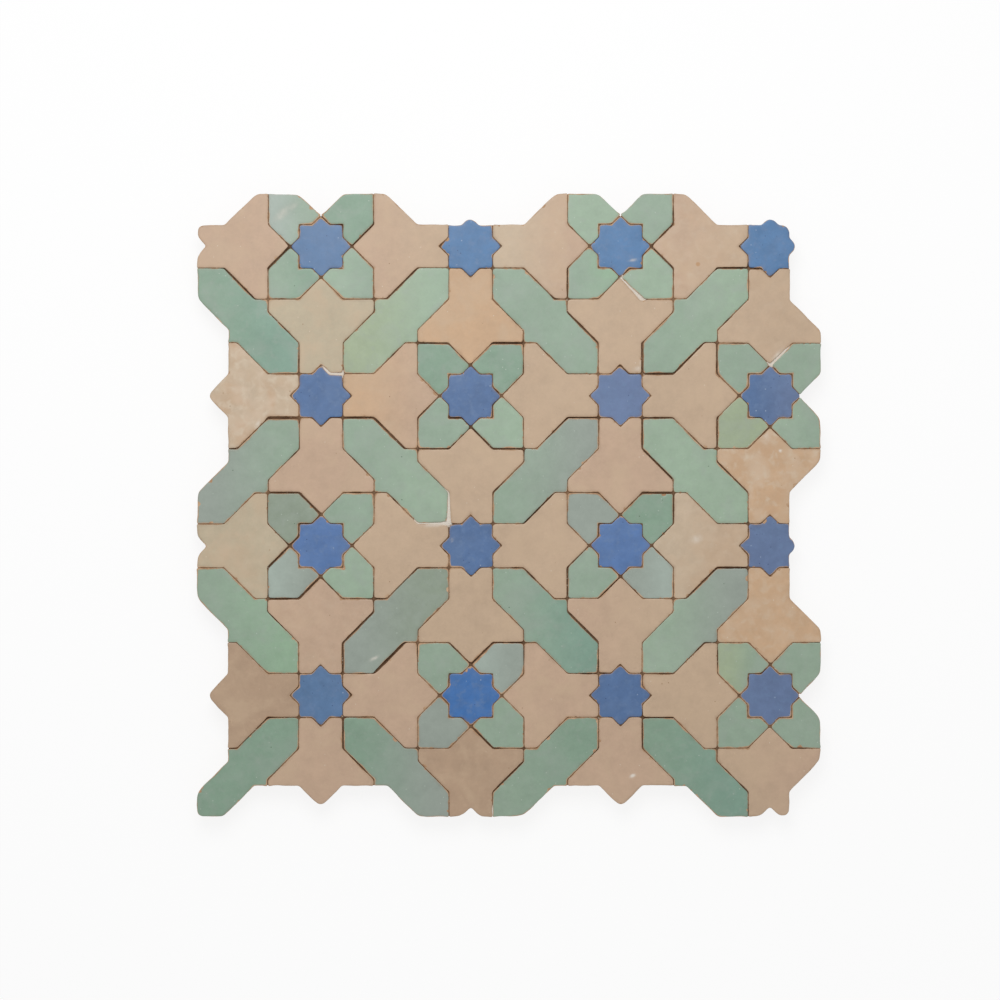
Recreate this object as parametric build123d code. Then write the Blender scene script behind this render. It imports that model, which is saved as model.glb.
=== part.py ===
from build123d import *
import math
import os
import random

# A square sheet of hand-cut zellige: stars, petals, arrows and bars of glazed clay, laid
# edge to edge on a thin mortar bed, with mortar in the joints between them. Its stepped
# border locks into the next sheet.

# Driving sizes, in millimetres and degrees
STAR_SIDE = 22.0        # side of each of the two crossed squares that make a star
COLUMNS = 4             # stars across the sheet
ROWS = 4                # stars down the sheet
PIECE_THICK = 10.0      # thickness of the fired clay the pieces are cut from
UNDERCUT = 10.0         # backward lean of the chipped sides
ARRIS = 0.4             # worn edge round each glazed face
JOINT = 1.0             # mean gap between two glazed faces
JOINT_DROP = 2.0        # how far the mortar in a joint stays below the glazed faces
BED_THICK = 3.0         # mortar bed under the pieces
BED_SETBACK = 0.9       # mortar kept in from the back edge of the outermost pieces
JOINT_SETBACK = 0.4     # joint mortar kept in from the sides of the outermost pieces at its top

# Shares of the star's side by which each side of the sheet is nipped back from the pattern
CUT_LEFT = 0.08
CUT_RIGHT = 0.045
CUT_TOP = 0.0
CUT_BOTTOM = 0.136

BORDER_ROUND = 0.136    # rounding of the corners that stand free, as a share of the star's side
LAY_SHIFT = 0.2         # a hand-laid piece may sit off its place by this share of a joint
LAY_TURN = 0.2          # and be turned so that its ends move by this share of a joint

# Pattern lengths that follow from one star
HALF = STAR_SIDE / 2
POINT = HALF * math.sqrt(2)                 # star centre to star point
PITCH = HALF * (4 + 2 * math.sqrt(2))       # star centre to star centre
HEAD = HALF + POINT                         # star centre to the flat of a petal
STEP = HALF * (2 - math.sqrt(2))            # one edge of a star
NOTCH = POINT - HALF                        # half width of a notch between star points
NECK = 2 * HEAD + STEP - HALF               # star centre to where an arrow becomes a stem
SLOPE = math.tan(math.radians(UNDERCUT))
LEAN = PIECE_THICK * SLOPE                  # how far a side leans in at the back
FACE_Z = BED_THICK + PIECE_THICK


def turned(points, quarters):
    """The outline turned about the origin by quarter turns."""
    for _ in range(quarters % 4):
        points = [(-y, x) for x, y in points]
    return points


def placed(points, x, y):
    """The outline moved to x, y, running anticlockwise."""
    ends = zip(points, points[1:] + points[:1])
    area = sum(x0 * y1 - x1 * y0 for (x0, y0), (x1, y1) in ends)
    return [(px + x, py + y) for px, py in (points if area > 0 else points[::-1])]


def edges_of(points):
    return list(zip(points, points[1:] + points[:1]))


def outward(start, end):
    """Unit normal that points out of an anticlockwise outline."""
    length = math.dist(start, end)
    return (end[1] - start[1]) / length, (start[0] - end[0]) / length


def moved_in(points, distances):
    """The outline with each edge moved in by its own distance."""
    lines = []
    for (start, end), distance in zip(edges_of(points), distances):
        nx, ny = outward(start, end)
        lines.append((nx, ny, nx * start[0] + ny * start[1] - distance))
    corners = []
    for (ax, ay, ac), (bx, by, bc) in zip(lines[-1:] + lines[:-1], lines):
        cross = ax * by - ay * bx
        corners.append(((ac * by - bc * ay) / cross, (ax * bc - bx * ac) / cross))
    return corners


# Outlines of the four shapes, about a flower star at the origin
corner = [(POINT, 0), (HALF, NOTCH), (HALF, HALF), (NOTCH, HALF)]
STAR = [point for quarter in range(4) for point in turned(corner, quarter)]
PETAL = [(HEAD, HEAD), (HALF, HEAD), (0, POINT), (NOTCH, HALF), (HALF, HALF), (HALF, NOTCH),
         (POINT, 0), (HEAD, HALF)]
upper = [(HEAD, HALF), (HEAD, HEAD), (HEAD + STEP, HEAD), (NECK, HALF), (PITCH - HALF, HALF),
         (PITCH - HALF, NOTCH)]
ARROW = [(POINT, 0)] + upper + [(PITCH - POINT, 0)] + [(x, -y) for x, y in reversed(upper)]
side = [(HEAD, HEAD), (HEAD + STEP, HEAD), (NECK, HALF), (PITCH - HALF, HALF),
        (PITCH - HALF, PITCH - NECK), (PITCH - HEAD, PITCH - HEAD - STEP)]
BAR = side + [(PITCH - x, PITCH - y) for x, y in side]
BAR_MIRRORED = [(PITCH - x, y) for x, y in BAR]

# Every star brings the arrow on its left, the arrow below it and the bar at its lower left;
# every second star is a flower and has four petals round it
layout = []
for row in range(ROWS):
    for column in range(COLUMNS):
        x, y = column * PITCH, -row * PITCH
        place = f"{row + 1}_{column + 1}"
        flower = (row + column) % 2 == 0
        layout.append((f"star_{place}", placed(STAR, x, y)))
        if flower:
            for quarter in range(4):
                layout.append((f"petals_{place}", placed(turned(PETAL, quarter), x, y)))
            layout.append((f"arrows_{place}", placed(turned(ARROW, 2), x, y)))
            layout.append((f"arrows_{place}", placed(turned(ARROW, 3), x, y)))
            layout.append((f"bar_{place}", placed(BAR, x - PITCH, y - PITCH)))
        else:
            layout.append((f"arrows_{place}", placed(ARROW, x - PITCH, y)))
            layout.append((f"arrows_{place}", placed(turned(ARROW, 1), x, y - PITCH)))
            layout.append((f"bar_{place}", placed(BAR_MIRRORED, x - PITCH, y - PITCH)))


def edge_key(start, end):
    return frozenset((round(px, 3), round(py, 3)) for px, py in (start, end))


# An edge that only one piece has lies on the border of the sheet
uses = {}
for _, outline in layout:
    for start, end in edges_of(outline):
        uses[edge_key(start, end)] = uses.get(edge_key(start, end), 0) + 1
all_x = [px for _, outline in layout for px, _ in outline]
all_y = [py for _, outline in layout for _, py in outline]
SIDES = [((-1, 0), -min(all_x), CUT_LEFT), ((1, 0), max(all_x), CUT_RIGHT),
         ((0, 1), max(all_y), CUT_TOP), ((0, -1), -min(all_y), CUT_BOTTOM)]


def on_border(start, end):
    return uses[edge_key(start, end)] == 1


def border_cut(start, end):
    """How far a border edge is moved in, so that its whole side shifts by that side's cut."""
    nx, ny = outward(start, end)
    mx, my = (start[0] + end[0]) / 2, (start[1] + end[1]) / 2
    cut = 0.0
    for (dx, dy), reach, amount in SIDES:
        if reach - (mx * dx + my * dy) < STAR_SIDE:
            cut += amount * STAR_SIDE * max(0.0, nx * dx + ny * dy)
    return cut


def turns_left(before, here, after):
    ax, ay = here[0] - before[0], here[1] - before[1]
    bx, by = after[0] - here[0], after[1] - here[1]
    return ax * by - ay * bx


def face_of(points, z=0):
    return Face(Wire.make_polygon([(px, py, z) for px, py in points], close=True))


def ring(points, z, round_corners, radius):
    """The outline at height z, with some of its corners rounded."""
    face = face_of(points, z)
    picked = []
    for index in round_corners:
        picked.append(face.vertices().sort_by_distance((*points[index], z))[0])
    return (face.fillet_2d(radius, picked) if picked else face).outer_wire()


# The border as one loop, for the mortar bed
follow = {}
for _, outline in layout:
    for start, end in edges_of(outline):
        if on_border(start, end):
            follow[(round(start[0], 3), round(start[1], 3))] = (start, end)
loop = []
here = next(iter(follow))
while here in follow:
    start, end = follow.pop(here)
    loop.append(start)
    here = (round(end[0], 3), round(end[1], 3))
border = []
for before, point, after in zip(loop[-1:] + loop[:-1], loop, loop[1:] + loop[:1]):
    if abs(turns_left(before, point, after)) > 1e-6:
        border.append(point)

# Each piece: cut square from the clay, then drafted so that the sides lean in towards the
# back, with the worn arris as a chamfer round the glazed face
rng = random.Random(1427)
nodes = {}
for name, outline in layout:
    edges = edges_of(outline)
    border_edge = [on_border(start, end) for start, end in edges]
    gaps = [border_cut(*edge) if free else JOINT / 2 for edge, free in zip(edges, border_edge)]
    points = moved_in(outline, gaps)
    free_corners = []
    for index, point in enumerate(points):
        after = points[(index + 1) % len(points)]
        both_free = border_edge[index - 1] and border_edge[index]
        if both_free and turns_left(points[index - 1], point, after) > 0:
            free_corners.append(index)
    blank = extrude(Face(ring(points, 0, free_corners, BORDER_ROUND * STAR_SIDE)), -PIECE_THICK)
    sides = blank.faces().filter_by(lambda face: abs(face.center().Z + PIECE_THICK / 2) < 0.01)
    body = draft(sides, Plane.XY, -UNDERCUT)
    body = chamfer(body.faces().sort_by(Axis.Z)[-1].edges(), ARRIS).solid()
    middle = Vector(sum(px for px, _ in points), sum(py for _, py in points)) / len(points)
    reach = max(math.dist((middle.X, middle.Y), point) for point in points)
    shift_x, shift_y, turn = (rng.uniform(-1, 1) * JOINT for _ in range(3))
    body = Location(-middle) * body
    body = Rotation(0, 0, math.degrees(LAY_TURN * turn / reach)) * body
    body = Pos(middle.X + LAY_SHIFT * shift_x, middle.Y + LAY_SHIFT * shift_y, FACE_Z) * body
    nodes.setdefault(name, []).append(body)

# The mortar bed: a flat slab, poured on the backs of the pieces and kept inside the border
inset = [border_cut(start, end) + LEAN + BED_SETBACK for start, end in edges_of(border)]
bed_outline = moved_in(border, inset)
nodes["mortar_bed"] = [extrude(face_of(bed_outline), BED_THICK)]

# The joint mortar: one net of ribs, rubbed in between the leaning sides from the face and
# wiped off just inside the border
pieces = [body for name, bodies in nodes.items() if name != "mortar_bed" for body in bodies]
wiped = [border_cut(start, end) + JOINT_DROP * SLOPE + JOINT_SETBACK for start, end in edges_of(border)]
fill_rings = [ring(bed_outline, BED_THICK, [], 0), ring(moved_in(border, wiped), FACE_Z - JOINT_DROP, [], 0)]
net = Solid.make_loft(fill_rings, ruled=True) - pieces
# Crumbs that would stand outside the rounded corners are wiped off, and the net stays
nodes["joint_mortar"] = [net.solids().sort_by(SortBy.VOLUME)[-1]]

# The sheet lies with its back on z = 0, centred on the origin
box = Compound(children=pieces).bounding_box()
home = Pos(-box.center().X, -box.center().Y, 0)

os.makedirs("parts", exist_ok=True)
for name, bodies in nodes.items():
    moved = [home * solid for body in bodies for solid in body.solids()]
    export_step(moved[0] if len(moved) == 1 else Compound(children=moved), f"parts/{name}.step")
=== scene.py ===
import math
import random
import bpy
import numpy as np
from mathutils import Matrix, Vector, noise
from mathutils.geometry import delaunay_2d_cdt
from mathutils.kdtree import KDTree


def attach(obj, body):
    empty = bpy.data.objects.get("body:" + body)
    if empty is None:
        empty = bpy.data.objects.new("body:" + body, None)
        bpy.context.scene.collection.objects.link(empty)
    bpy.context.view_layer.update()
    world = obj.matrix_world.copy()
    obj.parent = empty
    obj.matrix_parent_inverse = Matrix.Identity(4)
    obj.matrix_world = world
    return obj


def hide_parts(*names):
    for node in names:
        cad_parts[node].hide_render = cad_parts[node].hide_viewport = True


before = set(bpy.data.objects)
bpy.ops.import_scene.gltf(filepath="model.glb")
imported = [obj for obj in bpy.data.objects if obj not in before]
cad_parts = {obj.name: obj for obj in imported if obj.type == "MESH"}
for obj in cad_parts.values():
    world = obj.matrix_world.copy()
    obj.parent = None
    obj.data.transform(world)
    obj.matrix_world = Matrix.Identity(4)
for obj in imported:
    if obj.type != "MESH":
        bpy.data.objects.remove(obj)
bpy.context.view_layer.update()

# Blue stars. Each is an eight-pointed star chipped by hand out of a fired, glazed clay tile,
# face down on an anvil, so its sides lean in under a thin arris and its edge wanders a little.
# It is laid so close to its neighbours that some joints nearly shut; the glaze is satin cobalt.
MM = 0.001
FACE = 13.0            # height of the glazed faces above the back of the bed
CLAY = 10.0            # thickness of the clay
ARRIS = 0.4            # the solids' faces stop this far inside the cut outline
GRAIN = 0.62           # spacing of points along a cut edge


def face_loops(node):
    """The faces of a node's pieces as anticlockwise loops of corners in millimetres, the upper
    ones first and each row from the left."""
    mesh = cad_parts[node].data
    mesh.calc_loop_triangles()
    points = [tuple(round(c / MM, 3) for c in vertex.co) for vertex in mesh.vertices]
    top = max(point[2] for point in points)
    ahead = {}
    for triangle in mesh.loop_triangles:
        corners = [points[index] for index in triangle.vertices]
        if min(corner[2] for corner in corners) > top - 0.01:
            for start, end in zip(corners, corners[1:] + corners[:1]):
                ahead[(start, end)] = True
    follow = {start: end for start, end in ahead if (end, start) not in ahead}
    loops = []
    while follow:
        here = next(iter(follow))
        loop = []
        while here in follow:
            loop.append(here[:2])
            here = follow.pop(here)
        loops.append(np.array(loop))
    centre = np.mean([loop.mean(0)[1] for loop in loops])
    return sorted(loops, key=lambda loop: (loop.mean(0)[1] < centre - 1, loop.mean(0)[0]))


def drawn_in(loop, distance):
    """The loop moved in by a distance, or out by a negative one."""
    along = np.roll(loop, -1, 0) - loop
    along /= np.linalg.norm(along, axis=1)[:, None]
    inward = np.stack((-along[:, 1], along[:, 0]), 1)
    before = np.roll(inward, 1, 0)
    return loop + (before + inward) * distance / (1 + (before * inward).sum(1))[:, None]


def stepped(loop, counts):
    """Points along the loop, with each edge cut into its own number of steps."""
    after = np.roll(loop, -1, 0)
    return np.concatenate([a + (b - a) * np.arange(n)[:, None] / n for a, b, n in zip(loop, after, counts)])


def step_counts(loop, spacing):
    reach = np.linalg.norm(np.roll(loop, -1, 0) - loop, axis=1)
    return np.maximum(1, np.round(reach / spacing)).astype(int)


def softened(ring, times):
    for _ in range(times):
        ring = (np.roll(ring, 1, 0) + 2 * ring + np.roll(ring, -1, 0)) / 4
    return ring


def roll(points, scale, seed):
    """A smooth random height for each point, from -1 to 1."""
    return np.array([noise.noise((x / scale, y / scale, seed)) for x, y in points])


def inside(points, ring):
    """Which points lie inside a ring."""
    x, y = points[:, :1], points[:, 1:]
    ax, ay = ring[:, 0], ring[:, 1]
    bx, by = np.roll(ax, -1), np.roll(ay, -1)
    crosses = ((ay > y) != (by > y)) & (x < (bx - ax) * (y - ay) / (by - ay + 1e-12) + ax)
    return crosses.sum(1) % 2 == 1


outlines = {}
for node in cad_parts:
    if node.split("_")[0] in ("star", "petals", "arrows", "bar"):
        outlines[node] = [drawn_in(loop, -ARRIS) for loop in face_loops(node)]
cut_edges = [(node, k, point) for node, loops in outlines.items() for k, loop in enumerate(loops)
             for point in stepped(loop, step_counts(loop, GRAIN))]
near_edges = KDTree(len(cut_edges))
for index, (node, k, point) in enumerate(cut_edges):
    near_edges.insert((*point, 0), index)
near_edges.balance()

LIME_LINES = (         # joints where an edge broke off: from x, y to x, y, and the width at each end
    (-92.0, 68.0, -85.2, 66.0, 0.9, 1.3),
    (57.8, 112.6, 66.4, 104.0, 0.5, 1.9),
    (-30.2, 9.0, -30.6, -8.4, 0.2, 2.2),
    (-32.0, -8.8, -46.0, -8.8, 1.3, 0.4),
    (132.2, 71.6, 139.0, 78.4, 1.4, 1.1),
    (-9.0, -153.0, -8.0, -153.4, 0.6, 0.6),
)
OPEN_JOINTS = {        # width of the joints that were left open, and x, y near the middle of each
    1.4: ((-113, 42), (-115, 126), (0, 81), (-60, -76)),
    1.0: ((112, 120), (124, 120), (75, 66), (75, 43), (75, 20), (67, 76), (-73, 43), (-58, 35), (112, -32),
          (-100, -42), (-116, -26), (-14, -74), (-27, 43)),
    0.8: ((-134, 112), (-74, 137), (-53, 112), (-40, 81), (-36, 27), (0, 27), (-14, 33), (-113, 6),
          (-100, 0), (30, 112), (78, 126), (37, 90), (89, 73), (103, 72), (104, 36), (35, 42), (68, 35),
          (112, 14), (72, 5), (-108, -17), (-117, -47), (-77, -60), (-84, -76), (0, -69), (-14, -115),
          (-83, -113), (-4, -136), (16, -3), (81, -4), (30, -40), (51, -43), (97, -39), (38, -61),
          (76, -105), (68, -113)),
}
TIGHT_HALF = 0.05      # half a joint that is nearly shut
SLACK_HALF = 0.24      # what a slack joint adds to that
LONG_EDGE = 5          # an edge longer than this can stand open
OPEN_ENDS = 0.08       # share of an open edge at each end where the joint closes
OPEN_SPREAD = 2.2      # how far an open joint spreads round its end
LIME_SPREAD = 2.0      # and a broken one
long_edges = [(a, b) for loops in outlines.values() for loop in loops
              for a, b in zip(loop, np.roll(loop, -1, 0)) if np.linalg.norm(b - a) > LONG_EDGE]
middles = np.array([(a + b) / 2 for a, b in long_edges])
open_edges = []
for width, places in OPEN_JOINTS.items():
    for place in places:
        a, b = long_edges[np.argmin(((middles - place) ** 2).sum(1))]
        open_edges.append((a + (b - a) * OPEN_ENDS, b - (b - a) * OPEN_ENDS, width))


def beside_line(points, start, end):
    """How far along a line each point lies, from 0 to 1, and how far off it."""
    along = np.subtract(end, start)
    share = np.clip((points - start) @ along / (along @ along), 0, 1)
    return share, np.linalg.norm(points - start - share[:, None] * along, axis=1)


def half_joint(points):
    """Half the open joint at each point: tight here, wide there, widest where an edge broke."""
    slack = np.clip(0.45 + 1.0 * roll(points, 17, 7) + 0.6 * roll(points, 5, 8), 0, 1)
    half = TIGHT_HALF + SLACK_HALF * slack ** 2.5
    uneven = 1 + 0.35 * roll(points, 4, 21)
    for start, end, width in open_edges:
        off = beside_line(points, start, end)[1]
        half = np.maximum(half, width / 2 * uneven * np.exp(-(off / OPEN_SPREAD) ** 2))
    for ax, ay, bx, by, first, last in LIME_LINES:
        share, off = beside_line(points, (ax, ay), (bx, by))
        half = half + (first + (last - first) * share) / 2 * np.exp(-(off / LIME_SPREAD) ** 2)
    return half


NEIGHBOUR = 1.9        # an edge this near another piece lies beside a joint, any other one is free
LEAST_HALF = 0.06      # a pushed piece stays this far from the middle of its joint
WIDE_HALF = 0.3        # and a joint wider than this on each side stays wide
BORDER_NIP = 0.3       # free edges are nipped back by this much
NIP_BROAD = 0.28       # give or take this much in broad waves
NIP_CLOSE = 0.1        # and this much in close ones
CORNER_WEAR = 50       # rounds of softening that wear a free corner
UNDER_PIECE = 0.8      # the joint mortar reaches this far under a piece
OFF_PIECE = 1.5        # and stays out of a band this wide beside a free edge


def edge_shift(edge, outward, node, k, push):
    """How each point of a piece's edge moves to leave the joint beside it its width, when the
    whole piece was pushed a little to one side in laying, or to be worn where it is free; and
    how far outside the edge the joint mortar stops."""
    beside, across, gaps = [], [], []
    for i, point in enumerate(edge):
        close = near_edges.find_range((*point, 0), NEIGHBOUR)
        others = [(gap, *where[:2]) for where, index, gap in close if cut_edges[index][:2] != (node, k)]
        if others:
            gap, x, y = min(others)
            beside.append(i)
            across.append((np.array((x, y)) - point) / gap)
            gaps.append(gap / 2)
    across, gaps = np.array(across), np.array(gaps)
    off_joint = np.linalg.norm(edge[:, None] - edge[None, beside], axis=2).min(1)
    wear = np.clip(0.8 + 1.2 * roll(edge, 24, 13), 0.35, 1) * np.clip(off_joint / 4 - 0.4, 0, 1)
    worn = (softened(edge, CORNER_WEAR) - edge) * wear[:, None]
    worn *= ((worn * outward).sum(1) < 0)[:, None]
    nip = BORDER_NIP + NIP_BROAD * roll(edge, 9, 11) + NIP_CLOSE * roll(edge, 2.5, 12)
    moves = worn - outward * nip[:, None]
    room = half_joint(edge[beside] + across * gaps[:, None])
    reach = np.minimum(gaps - room + across @ push, gaps - LEAST_HALF - np.maximum(0, room - WIDE_HALF))
    moves[beside] = across * reach[:, None]
    side = np.full(len(edge), OFF_PIECE)
    side[beside] = -UNDER_PIECE
    return softened(moves, 3), side


LEAN = math.tan(math.radians(10))
RIM_RINGS = (          # distance in from the edge of the face, and drop, of the rings of the arris
    (2.4, 0.0), (1.3, 0.0), (0.6, 0.01), (0.24, 0.04), (0.06, 0.12), (0.0, 0.3),
)
SIDE_RINGS = (1.5, 3.8, 6.8, 10.0)     # depths of the rings down the chipped sides
PUSH = 0.15            # a piece may be pushed off its place by this much in laying
SINK = (0.06, 0.34)    # least and most that a face lies below the highest
TILT = 0.004           # usual slope of a face
SWELL_BROAD = 0.12     # height of the broad swell of a face
SWELL_CLOSE = 0.03     # and of the close one
TOP_CLEAR = 0.01       # faces stay this far below the solids' faces
SPLIT = (0.2, 0.4)     # how far the chipped sides are split off, and how far that varies
FACE_GRAIN = (1.5, 1.3)                # spacing of points across and up a face
SMEAR_AND_GLINT_GRAIN = 0.45       # and where a smear or a painted glint lies
RIM_FAR = 6.0          # past this distance from the edge the glaze is all alike
CHIP_EVERY = 24        # length of edge to one chip
CHIP_WIDTH = (0.4, 0.9)
CHIP_DEPTH = (0.15, 0.5)
SMEARS_AND_GLINTS = (             # x, y, half length, half width, angle and strength of the pale marks on the faces: plaster smears and rubs, and painted glints and sheen streaks of the glaze
    (-38.0, -10.0, 6.0, 1.1, 3, 0.6), (135.0, 75.4, 5.0, 1.5, 45, 0.5), (129.2, 34.2, 4.0, 2.8, 75, 0.4),
    (136.2, 27.3, 1.0, 0.9, 0, 0.8), (94.0, -17.0, 4.0, 2.6, 20, 0.45), (62.0, -135.8, 1.6, 0.9, 25, 1.0),
    (-67.6, -76.9, 2.8, 1.0, 28, 0.55), (-28.4, -17.4, 1.6, 0.8, 60, 0.45), (62.5, 123.0, 3.0, 0.8, 12, 0.45),
    (-113.7, 146.2, 6.5, 2.6, 42, 0.4), (-108.0, 150.0, 4.5, 1.8, 42, 0.3), (-126.0, 40.5, 3.0, 1.2, 70, 0.5),
    (64.4, 68.4, 2.6, 1.3, 10, 0.55), (66.0, 71.0, 2.4, 0.7, 85, 0.4),
)
joint_sides = []       # x, y and height of the edges of the pieces, where the joint mortar meets them


def cut_piece(node, k, tone, marble, dice):
    """One piece: its points, its faces, and what each point's finish needs to know: distance
    inside the arris, how far it is chipped or marbled, how strong a smear or a painted glint lies on it, and
    the tone of its glaze."""
    seed = dice.uniform(0, 900)
    outline = outlines[node][k]
    counts = step_counts(outline, GRAIN)
    edge = softened(stepped(outline, counts), 2)
    size = len(edge)
    along = np.roll(edge, -1, 0) - np.roll(edge, 1, 0)
    outward = np.stack((along[:, 1], -along[:, 0]), 1) / np.linalg.norm(along, axis=1)[:, None]
    push = np.array((dice.uniform(-PUSH, PUSH), dice.uniform(-PUSH, PUSH)))
    shift, side = edge_shift(edge, outward, node, k, push)
    shift += outward * (0.05 * roll(edge, 2.2, seed) - 0.03)[:, None]
    middle = edge.mean(0)
    sink = dice.uniform(*SINK)
    tilt = np.array((dice.gauss(0, TILT), dice.gauss(0, TILT)))

    def face_height(points):
        swell = SWELL_BROAD * roll(points, 15, seed) + SWELL_CLOSE * roll(points, 4.5, seed + 3)
        return np.minimum(FACE - TOP_CLEAR, FACE - sink + (points - middle) @ tilt + swell)

    rings, heights, rims = [], [], []
    for inset, drop in RIM_RINGS:
        ring = softened(stepped(drawn_in(outline, inset), counts), 2) + shift * (1 - inset / 3)
        rings.append(ring)
        heights.append(face_height(ring) - drop)
        rims.append(np.full(size, inset))
    for depth in SIDE_RINGS:
        ring = softened(stepped(drawn_in(outline, depth * LEAN), counts), 2)
        split = roll(ring, 3.2, depth / 4 + seed)
        ring = ring + shift - outward * ((SPLIT[0] + SPLIT[1] * split) * min(1, depth / 3))[:, None]
        rings.append(ring)
        level = np.interp(depth, (0.3, CLAY), (0, 1))
        heights.append(heights[len(RIM_RINGS) - 1] * (1 - level) + (FACE - CLAY) * level)
        rims.append(np.full(size, -depth))

    low, high = rings[0].min(0), rings[0].max(0)
    wide, tall = FACE_GRAIN
    field = [(x + wide / 2 * (row % 2), y) for row, y in enumerate(np.arange(low[1], high[1], tall))
             for x in np.arange(low[0], high[0], wide)]
    for x, y, length, width, _, _ in SMEARS_AND_GLINTS:
        if low[0] < x < high[0] and low[1] < y < high[1]:
            spread = np.arange(-length - width, length + width, SMEAR_AND_GLINT_GRAIN)
            field += [(x + a + 0.13, y + b + 0.07) for a in spread for b in spread]
    field = np.array(field)
    field = field[inside(field, drawn_in(rings[0][::4], 0.5))]
    flat = [Vector(point) for point in np.concatenate((rings[0], field))]
    laid = delaunay_2d_cdt(flat, [], [list(range(size))], 1, 1e-6)
    spots = np.array([tuple(point) for point in laid[0]])
    origin = [ids[0] if ids else -1 for ids in laid[3]]
    gap = np.sqrt(((spots[:, None] - (edge + shift)[None, ::2]) ** 2).sum(2)).min(1)

    start = len(rings) * size
    where = [o if 0 <= o < size else start + i for i, o in enumerate(origin)]
    xy = np.concatenate(rings + [spots])
    z = np.concatenate(heights + [face_height(spots)])
    rim = np.concatenate(rims + [np.minimum(gap, RIM_FAR)])
    faces = [tuple(where[i] for i in face) for face in laid[2]]
    turn = np.arange(size)
    for a in range(0, (len(rings) - 1) * size, size):
        b = a + size
        faces += list(zip(b + turn, b + (turn + 1) % size, a + (turn + 1) % size, a + turn))
    back = delaunay_2d_cdt([Vector(p) for p in rings[-1]], [], [list(range(size))], 1, 1e-6)
    under = [(len(rings) - 1) * size + (ids[0] if ids else 0) for ids in back[3]]
    faces += [tuple(under[i] for i in reversed(face)) for face in back[2]]

    chip = np.zeros(len(xy))
    for _ in range(int(counts.sum() * GRAIN / CHIP_EVERY)):
        spot = (edge + shift)[dice.randrange(size)]
        width = dice.uniform(*CHIP_WIDTH) * (2.0 if dice.random() < 0.12 else 1.0)
        off = np.clip(1 - np.linalg.norm(xy - spot, axis=1) / width, 0, 1) * (rim > -2)
        z -= off * dice.uniform(*CHIP_DEPTH)
        chip = np.maximum(chip, np.minimum(1, off * 2.5))
    smear_or_glint = np.zeros(len(xy))
    for x, y, length, width, angle, strength in SMEARS_AND_GLINTS:
        c, s = math.cos(math.radians(angle)), math.sin(math.radians(angle))
        reach = (((xy - (x, y)) @ ((c, -s), (s, c))) / (length, width)) ** 2
        smear_or_glint = np.maximum(smear_or_glint, strength * np.exp(-reach.sum(1)) * (rim > -0.5))
    across = np.clip((xy[:, :1] - low[0]) / (high[0] - low[0]), 0, 1)
    left, right = tone[0], tone[-1]
    tones = np.array(left) + (np.array(right) - left) * across * across * (3 - 2 * across)
    joint_line = edge + shift * (side < 0)[:, None] + outward * side[:, None]
    joint_sides.append(np.column_stack((joint_line, heights[len(RIM_RINGS) - 1]))[::2])
    return {"points": np.column_stack((xy, z)), "faces": faces, "rim": rim, "chip": chip, "smear_or_glint": smear_or_glint,
            "marble": np.full(len(xy), marble), "tone": np.column_stack((tones, np.ones(len(xy))))}


def lay(node, tones, finish, dice, marbles=(0, 0, 0, 0)):
    """Cuts the pieces of one node and sets them in its place."""
    cut = [cut_piece(node, k, tone, marbles[k], dice) for k, tone in enumerate(tones)]
    starts = np.cumsum([0] + [len(piece["points"]) for piece in cut])
    faces = [tuple(int(i + start) for i in face)
             for piece, start in zip(cut, starts) for face in piece["faces"]]
    mesh = bpy.data.meshes.new(node + "_cut")
    mesh.from_pydata(np.concatenate([piece["points"] for piece in cut]) * MM, [], faces)
    for name in ("rim", "chip", "smear_or_glint", "marble", "tone"):
        values = np.concatenate([piece[name] for piece in cut]).astype(np.float32).ravel()
        kind, field = ("FLOAT_COLOR", "color") if name == "tone" else ("FLOAT", "value")
        mesh.attributes.new(name, kind, "POINT").data.foreach_set(field, values)
    mesh.shade_smooth()
    set_piece(node + "_cut", mesh, finish, node)


def set_piece(name, mesh, finish, node):
    """Puts a mesh in the place of one node, with its finish."""
    mesh.materials.append(finish)
    piece = bpy.data.objects.new(name, mesh)
    bpy.context.scene.collection.objects.link(piece)
    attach(piece, "root")
    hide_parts(node)


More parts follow.
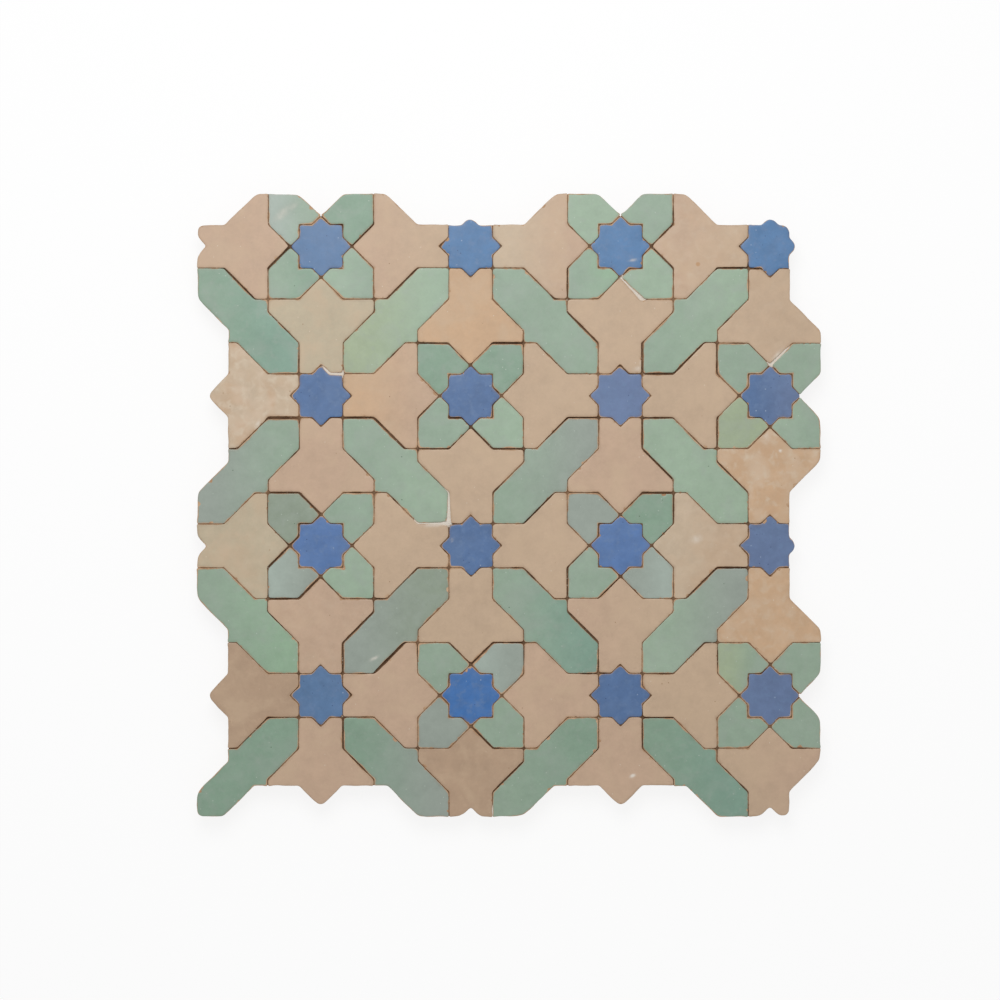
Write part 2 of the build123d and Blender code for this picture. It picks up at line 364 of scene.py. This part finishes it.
class Shade:
    """One output of a shader node; a sum on it adds Math nodes to the same finish."""

    def __init__(self, tree, socket=None):
        self.tree = tree
        self.socket = socket

    def node(self, kind, settings=None, sockets=None, out=0):
        made = self.tree.nodes.new(kind)
        for name, value in (settings or {}).items():
            setattr(made, name, value)
        for name, value in (sockets or {}).items():
            if isinstance(value, Shade):
                self.tree.links.new(value.socket, made.inputs[name])
            else:
                made.inputs[name].default_value = value
        return Shade(self.tree, made.outputs[out]) if made.outputs else made

    def math(self, operation, *values):
        return self.node("ShaderNodeMath", {"operation": operation}, dict(enumerate((self, *values))))

    def __add__(self, other):
        return self.math("ADD", other)

    __radd__ = __add__

    def __mul__(self, other):
        return self.math("MULTIPLY", other)

    __rmul__ = __mul__

    def __sub__(self, other):
        return self.math("SUBTRACT", other)

    def __rsub__(self, other):
        return self.math("MULTIPLY_ADD", -1.0, other)

    def band(self, low, high):
        """0 below low, 1 above high, smooth between."""
        return self.node("ShaderNodeMapRange", {"interpolation_type": "SMOOTHSTEP"},
                         {"Value": self, "From Min": low, "From Max": high})

    def under(self, amount, cover):
        """This colour, covered by an amount of another."""
        cover = cover if isinstance(cover, Shade) else (*cover, 1)
        return self.node("ShaderNodeMix", {"data_type": "RGBA"}, {0: amount, 6: self, 7: cover}, 2)

    def times(self, amount):
        """This colour made darker or lighter."""
        return self.node("ShaderNodeVectorMath", {"operation": "SCALE"}, {0: self, "Scale": amount})

    def clouds(self, scale, detail=2.0, roughness=0.5, stretch=0.0):
        """Soft noise on this place, with so many clouds to the metre."""
        return self.node("ShaderNodeTexNoise", {},
                         {"Vector": self, "Scale": scale, "Detail": detail, "Roughness": roughness,
                          "Distortion": stretch})

    def specks(self, scale, size, share):
        """Round specks: so many cells to the metre, a share of which hold one."""
        cell = {"Vector": self, "Scale": scale}
        near = self.node("ShaderNodeTexVoronoi", {}, cell, 0)
        pick = self.node("ShaderNodeTexVoronoi", {}, cell, 1)
        chosen = self.node("ShaderNodeSeparateColor", {}, {0: pick}).math("LESS_THAN", share)
        return chosen * (1 - near.band(size * 0.6, size))


def colour(red, green, blue):
    """A colour as a paint chart gives it, 0 to 255, as light."""
    shares = [c / 255 for c in (red, green, blue)]
    return tuple(c / 12.92 if c < 0.0405 else ((c + 0.055) / 1.055) ** 2.4 for c in shares)


def new_finish(name):
    finish = bpy.data.materials.new(name)
    finish.use_nodes = True
    finish.node_tree.nodes.clear()
    return finish, Shade(finish.node_tree)


# Lime white: the lime in the mortar, and on the glazes both plaster smears and painted glints and sheen.
LIME_AND_GLINT_WHITE = colour(226, 218, 206)


def glaze(name, drift_to, drift, mottle, worn, gloss, specks, veins=()):
    """A glaze over clay: it drifts in clouds to a second colour, shows veins where the piece is
    marbled, has specks of its own, holds dirt beside the joints and is worn to clay at the arris."""
    finish, bench = new_finish(name)
    place = bench.node("ShaderNodeTexCoord", {}, {}, 3)
    rim, chip, smear_or_glint, marble = (bench.node("ShaderNodeAttribute", {"attribute_name": word}, {}, 2)
                                for word in ("rim", "chip", "smear_or_glint", "marble"))
    tone = bench.node("ShaderNodeAttribute", {"attribute_name": "tone"}, {}, 0)
    broad = place.clouds(38, 3, 0.55, 0.4)
    close = place.clouds(190, 4, 0.6)
    fine = place.clouds(900, 3, 0.6)

    body = tone.times(0.84 - mottle / 2 + 0.2 * broad + mottle * close + 0.12 * fine)
    body = body.under(place.clouds(61, 3, 0.5, 0.8).band(0.42, 0.75) * drift, drift_to)
    body = body.under(place.clouds(360, 2, 0.5).band(0.5, 0.78) * mottle, drift_to)
    for scale, vein in veins:
        body = body.under(place.clouds(scale, 2, 0.5, 0.4).band(0.44, 0.81) * marble, vein)
    for scale, size, share, spot in specks:
        body = body.under(place.specks(scale, size, share), spot)
    # Pale marks in lime white: plaster smears and rubs, and painted glints and sheen streaks where the glaze
    # catches the light.
    body = body.under((smear_or_glint * (0.3 + 1.4 * place.clouds(420, 4, 0.65))).band(0.03, 1.0), LIME_AND_GLINT_WHITE)
    grime = (1 - (rim + (close - 0.5) * 1.2).band(0.15, 1.5)) * place.clouds(75, 2).band(0.35, 0.75)
    body = body.under(grime * 0.25, colour(128, 98, 72))

    clay = bench.node("ShaderNodeMix", {"data_type": "RGBA"},
                      {0: place.clouds(300, 4, 0.65).band(0.3, 0.7), 6: (*colour(168, 130, 98), 1),
                       7: (*colour(200, 168, 136), 1)}, 2)
    patchy = (place.clouds(110, 2, 0.5) - 0.5) * 1.9
    bare = 1 - (rim + (fine - 0.5) * 0.5 + (close - 0.5) * 0.4 - patchy).band(worn - 0.1, worn + 0.3)
    bare = bare.math("MAXIMUM", (chip + (fine - 0.5) * 0.4).band(0.35, 0.6))
    skin = body.under(bare, clay)
    dull = bare.math("MAXIMUM", smear_or_glint)
    rough = (gloss + 0.16 * close) + (0.85 - gloss) * dull
    relief = 0.55 * place.clouds(70, 2) + 0.12 * close + 0.05 * fine + bare * fine * 0.5
    normal = bench.node("ShaderNodeBump", {}, {"Strength": 0.35, "Distance": 0.0008, "Height": relief})
    cover = bench.node("ShaderNodeBsdfPrincipled", {},
                       {"Base Color": skin, "Roughness": rough, "Normal": normal})
    bench.node("ShaderNodeOutputMaterial", {}, {0: cover})
    return finish


def fired(words, chart):
    """The tones of a row of pieces; a word with a stroke runs from one tone to the other."""
    return [[chart[word] for word in pair.split("/")] for pair in words.split()]


BLUES = {
    "azure": colour(79, 121, 166),
    "slate": colour(80, 110, 154),
    "lavender": colour(102, 122, 160),
    "royal": colour(83, 117, 169),
    "cobalt": colour(57, 109, 172),
    "ink": colour(97, 117, 154),
    "violet": colour(87, 120, 160),
}
STAR_ROWS = (
    "violet azure azure azure",
    "slate slate lavender slate/ink",
    "royal slate royal ink",
    "violet cobalt slate ink",
)
cobalt_glaze = glaze("cobalt_glaze", colour(104, 129, 166), 0.3, 0.45, 0.04, 0.3,
                     ((420, 0.16, 0.10, colour(146, 164, 190)), (700, 0.2, 0.06, colour(48, 66, 106))))
dice = random.Random(31)
for row, words in enumerate(STAR_ROWS):
    for column, tone in enumerate(fired(words, BLUES)):
        lay(f"star_{row + 1}_{column + 1}", [tone], cobalt_glaze, dice)

# Green petals. Four stand round every second star, each with a square corner outwards and a
# notch that takes the star's corner. They are cut from tiles with a celadon glaze that fires
# unevenly, from grey-blue to mint, and the thin glaze shows the clay along every cut.
GREENS = {
    "celadon": colour(146, 167, 147),
    "mint": colour(154, 176, 153),
    "spring": colour(145, 174, 146),
    "deep": colour(132, 159, 138),
    "teal": colour(127, 158, 141),
    "mist": colour(162, 175, 165),
    "grey": colour(150, 160, 150),
    "olive": colour(141, 154, 136),
    "yellow": colour(160, 174, 143),
}
PETALS = {
    "1_1": "mist/celadon deep celadon/deep mint/celadon",
    "1_3": "mint celadon celadon/spring mint",
    "2_2": "deep deep celadon mint",
    "2_4": "celadon celadon yellow mint/celadon",
    "3_1": "olive celadon mist/grey mint",
    "3_3": "grey deep celadon grey/mist",
    "4_2": "celadon mist/grey grey celadon",
    "4_4": "yellow/celadon celadon celadon celadon",
}
celadon_glaze = glaze("celadon_glaze", colour(156, 166, 156), 0.35, 0.24, 0.12, 0.3,
                      ((260, 0.10, 0.05, colour(92, 112, 92)), (640, 0.2, 0.05, colour(176, 188, 176))))
for place, words in PETALS.items():
    lay(f"petals_{place}", fired(words, GREENS), celadon_glaze, dice)

# Green bars. One lies across each field between four stars, pointed at both ends to turn into
# the arrows' corners. Same clay and celadon glaze as the petals, from several firings.
BAR_ROWS = (
    "deep/teal yellow/mint celadon celadon/mint",
    "grey/celadon celadon/mint celadon/grey mint",
    "celadon/spring grey/olive celadon/teal mint/grey",
    "deep deep/grey celadon/deep deep/teal",
)
for row, words in enumerate(BAR_ROWS):
    for column, tone in enumerate(fired(words, GREENS)):
        lay(f"bar_{row + 1}_{column + 1}", [tone], celadon_glaze, dice)

# Sand arrows. One runs between every two stars, its point at the flower and its notched stem at
# the plain star. They are the clay's own colour under a thin clear glaze, so the face varies
# from pink to straw with the firing, some pieces are marbled, and the worn arris hardly shows.
SANDS = {
    "sand": colour(193, 167, 140),
    "pink": colour(193, 164, 139),
    "cream": colour(194, 174, 149),
    "straw": colour(186, 172, 146),
    "amber": colour(199, 165, 131),
    "brown": colour(179, 151, 125),
}
ARROW_ROWS = (         # the arrow left of each star, then the one below it
    ("pink straw", "pink/sand amber", "cream/pink sand", "pink/sand sand"),
    ("cream pink", "amber/pink sand", "sand pink", "sand amber"),
    ("straw pink", "sand sand", "sand pink/sand", "cream/sand amber"),
    ("brown pink", "pink brown", "pink pink", "sand sand/pink"),
)
MARBLED = {            # share of the marbling that shows on those two arrows
    "arrows_1_3": (0.15, 0), "arrows_1_4": (0.25, 0.1), "arrows_2_1": (0.9, 0), "arrows_2_4": (0, 0.6),
    "arrows_3_1": (0.15, 0.1), "arrows_3_4": (0.25, 0.35),
}
sand_glaze = glaze("sand_glaze", colour(199, 173, 144), 0.5, 0.24, 0.0, 0.38,
                   ((95, 0.13, 0.03, colour(186, 146, 108)), (300, 0.10, 0.06, colour(150, 116, 86)),
                    (520, 0.16, 0.03, colour(212, 196, 176))),
                   ((64, colour(194, 158, 124)), (95, colour(207, 185, 161)), (230, colour(209, 192, 169))))
for row, pairs in enumerate(ARROW_ROWS):
    for column, words in enumerate(pairs):
        node = f"arrows_{row + 1}_{column + 1}"
        lay(node, fired(words, SANDS), sand_glaze, dice, MARBLED.get(node, (0, 0)))

# Joint mortar. Brown earth and lime rubbed in from the face, it fills the joints unevenly: deep
# and dark in most, nearly flush in some, with white lime showing where an edge broke off.
def mortar(name, dark, pale, scale):
    """Rough mortar with sand grains, from dark to pale, with lime where the lime mark says."""
    finish, bench = new_finish(name)
    place = bench.node("ShaderNodeTexCoord", {}, {}, 3)
    white = bench.node("ShaderNodeAttribute", {"attribute_name": "lime"}, {}, 2)
    patch = place.clouds(scale, 4, 0.6)
    grain = place.clouds(1400, 3, 0.7)
    skin = bench.node("ShaderNodeMix", {"data_type": "RGBA"},
                      {0: (0.7 * patch + 0.3 * grain).band(0.3, 0.7), 6: (*dark, 1), 7: (*pale, 1)}, 2)
    skin = skin.under(place.specks(620, 0.3, 0.3) * 0.5, colour(206, 196, 180))
    skin = skin.under((white + (grain - 0.5) * 0.5).band(0.25, 0.5), LIME_AND_GLINT_WHITE)
    relief = patch + 0.5 * grain
    normal = bench.node("ShaderNodeBump", {}, {"Strength": 0.7, "Distance": 0.0006, "Height": relief})
    cover = bench.node("ShaderNodeBsdfPrincipled", {},
                       {"Base Color": skin, "Roughness": 0.92, "Normal": normal})
    bench.node("ShaderNodeOutputMaterial", {}, {0: cover})
    return finish


def closed(top, foot, faces):
    """Points and faces of a slab between a top and a foot that share their faces."""
    count = len(top)
    sides = {side for face in faces for side in zip(face, face[1:] + face[:1])}
    walls = [(b, a, a + count, b + count) for a, b in sorted(sides) if (b, a) not in sides]
    under = [tuple(i + count for i in reversed(face)) for face in faces]
    return np.concatenate((top, foot)) * MM, faces + walls + under


BED_GRAIN = 1.4        # spacing of points along the edge of the bed
WIPED = 2.2            # the joint mortar ends this far outside the bed
LARGEST = 45           # no part of a piece lies farther from its middle
LIME_REACH = 2.6       # how far lime lies round a broken joint
RIM_REACH = 2.6        # the mortar keeps below the lowest rim within this distance
FILL_DROP = 0.16       # mean depth of the mortar below that rim
FILL_WAVE = 0.1        # and how far it varies
OPEN_DROP = 1.6        # an open joint is this much deeper
DRAW_IN = 0.987        # the foot of the net, as a share of its spread at the top
bed_loop = face_loops("mortar_bed")[0]
bed_edge = stepped(bed_loop, step_counts(bed_loop, BED_GRAIN))
wiped_edge = drawn_in(bed_edge, -WIPED)
flat, borders = [], []
for ring in [wiped_edge] + [side[:, :2] for side in joint_sides]:
    start = len(flat)
    flat += [Vector(point) for point in ring]
    borders += [(start + i, start + (i + 1) % len(ring)) for i in range(len(ring))]
laid = delaunay_2d_cdt(flat, borders, [], 0, 1e-5)
spots = np.array([tuple(point) for point in laid[0]])
strips = np.array([face for face in laid[2] if len(face) == 3])
centres = spots[strips].mean(1)
keep = inside(centres, wiped_edge)
for side in joint_sides:
    near = np.flatnonzero(keep & (np.abs(centres - side.mean(0)[:2]).max(1) < LARGEST))
    keep[near[inside(centres[near], side[:, :2])]] = False
used, strips = np.unique(strips[keep], return_inverse=True)
spots = spots[used]
faces = [tuple(int(i) for i in face) for face in strips.reshape(-1, 3)]
lime = np.zeros(len(spots))
for ax, ay, bx, by, _, _ in LIME_LINES:
    off = beside_line(spots, (ax, ay), (bx, by))[1]
    lime = np.maximum(lime, np.exp(-(off / LIME_REACH) ** 2))
rims = np.concatenate(joint_sides)
near_rims = KDTree(len(rims))
for index, (x, y, _) in enumerate(rims):
    near_rims.insert((x, y, 0), index)
near_rims.balance()
level = []
for spot in spots:
    close = near_rims.find_range((*spot, 0), RIM_REACH)
    level.append(min([rims[index][2] for _, index, _ in close], default=FACE - 1))
open_share = np.clip((half_joint(spots) - 0.12) / 0.3, 0, 1)
drop = (FILL_DROP + FILL_WAVE * roll(spots, 5, 9) + OPEN_DROP * open_share) * (1 - lime)
top = np.column_stack((spots, level - drop))
foot = np.column_stack((spots * DRAW_IN, np.full(len(spots), FACE - CLAY)))
net = bpy.data.meshes.new("joint_mortar_net")
points, faces = closed(top, foot, faces)
net.from_pydata(points, [], faces)
values = np.tile(lime, 2).astype(np.float32)
net.attributes.new("lime", "FLOAT", "POINT").data.foreach_set("value", values)
earth_mortar = mortar("earth_mortar", colour(92, 66, 45), colour(142, 110, 82), 120)
set_piece("joint_mortar_net", net, earth_mortar, "joint_mortar")

# Mortar bed. Pale lime mortar poured over the backs of the pieces in a frame and struck off
# flat, it carries the sheet; its edge is rough and its back has the drag of the float.
EDGE_LOSS = 0.4        # the edge crumbled back by this much
EDGE_ROUGH = ((6, 40, 0.35), (1.8, 41, 0.15))      # length, seed and depth of its broad and close waves
BACK_GRAIN = 3.0       # spacing of points on the back
BACK_MARGIN = 1.8      # and how far inside the edge they stay
DRAG = 0.16            # depth of the float's drag
DRAG_ALONG = 0.12      # the drag is drawn out along the float's path
BACK_CLEAR = 0.01      # the back stays this far above the floor
edge = softened(drawn_in(bed_edge, EDGE_LOSS), 2)
for length, seed, depth in EDGE_ROUGH:
    edge = edge + np.stack((roll(bed_edge, length, seed), roll(bed_edge, length, seed + 2))).T * depth
low, high = edge.min(0), edge.max(0)
field = [(x + BACK_GRAIN / 2 * (row % 2), y) for row, y in enumerate(np.arange(low[1], high[1], BACK_GRAIN))
         for x in np.arange(low[0], high[0], BACK_GRAIN)]
field = np.array(field)
field = field[inside(field, drawn_in(bed_loop, BACK_MARGIN))]
flat = [Vector(point) for point in np.concatenate((edge, field))]
laid = delaunay_2d_cdt(flat, [], [list(range(len(edge)))], 1, 1e-5)
spots = np.array([tuple(point) for point in laid[0]])
drag = roll(spots * (DRAG_ALONG, 1), 7, 2) + 0.6 * roll(spots, 9, 5)
top = np.column_stack((spots, np.full(len(spots), FACE - CLAY)))
back = np.column_stack((spots, np.clip(DRAG + DRAG * drag, BACK_CLEAR, 0.6)))
slab = bpy.data.meshes.new("mortar_bed_slab")
points, faces = closed(top, back, [tuple(face) for face in laid[2]])
slab.from_pydata(points, [], faces)
lime_mortar = mortar("lime_mortar", colour(168, 158, 142), colour(204, 196, 182), 60)
set_piece("mortar_bed_slab", slab, lime_mortar, "mortar_bed")

# Floor, light and camera: a white floor, even light from the sky and one broad lamp beyond the
# upper border, and a camera straight above the sheet.
FLOOR_HALF = 6         # metres from the middle of the floor to its sides
floor_mesh = bpy.data.meshes.new("floor")
floor_corners = [(x * FLOOR_HALF, y * FLOOR_HALF, 0) for x, y in ((-1, -1), (1, -1), (1, 1), (-1, 1))]
floor_mesh.from_pydata(floor_corners, [], [(0, 1, 2, 3)])
floor = bpy.data.objects.new("floor", floor_mesh)
bpy.context.scene.collection.objects.link(floor)
paper, bench = new_finish("white_floor")


def seen(bench, share):
    """A share for rays from the camera or a mirror, and nothing for the light itself."""
    rays = [bench.node("ShaderNodeLightPath", {}, {}, word)
            for word in ("Is Camera Ray", "Is Glossy Ray", "Is Transmission Ray")]
    return rays[0].math("MAXIMUM", rays[1]).math("MAXIMUM", rays[2]) * share


matt = bench.node("ShaderNodeBsdfDiffuse", {}, {"Color": (0.97, 0.97, 0.97, 1)})
white = bench.node("ShaderNodeEmission", {}, {"Strength": 1.0})
mixed = bench.node("ShaderNodeMixShader", {}, {0: seen(bench, 0.85), 1: matt, 2: white})
bench.node("ShaderNodeOutputMaterial", {}, {0: mixed})
floor_mesh.materials.append(paper)

sky = bpy.data.worlds.new("sky")
sky.use_nodes = True
sky.node_tree.nodes.clear()
bench = Shade(sky.node_tree)
light = bench.node("ShaderNodeBackground", {}, {"Color": (1, 1, 1, 1), "Strength": 0.53})
white = bench.node("ShaderNodeBackground", {}, {"Color": (1, 1, 1, 1), "Strength": 1.0})
rays = bench.node("ShaderNodeLightPath", {}, {}, "Is Camera Ray")
mixed = bench.node("ShaderNodeMixShader", {}, {0: rays, 1: light, 2: white})
bench.node("ShaderNodeOutputWorld", {}, {0: mixed})
bpy.context.scene.world = sky

LAMP_PLACE = (-0.08, 0.45, 0.8)
lamp = bpy.data.lights.new("lamp", "AREA")
lamp.shape = "DISK"
lamp.size = 0.6
lamp.energy = 4.1
lamp_object = bpy.data.objects.new("lamp", lamp)
lamp_object.location = LAMP_PLACE
lamp_object.rotation_euler = (-lamp_object.location).to_track_quat("-Z", "Y").to_euler()
bpy.context.scene.collection.objects.link(lamp_object)

STAND_OFF = 1.8        # metres from the lens down to the glazed faces
SEEN_WIDTH = 0.5015    # metres that the picture is wide there
AIM = (-0.00445, 0.0026)
SENSOR = 36
camera = bpy.data.cameras.new("camera")
camera.sensor_width = SENSOR
camera.lens = SENSOR * STAND_OFF / SEEN_WIDTH
camera_object = bpy.data.objects.new("camera", camera)
camera_object.location = (*AIM, FACE * MM + STAND_OFF)
bpy.context.scene.collection.objects.link(camera_object)
bpy.context.scene.camera = camera_object
bpy.context.scene.view_settings.view_transform = "Standard"
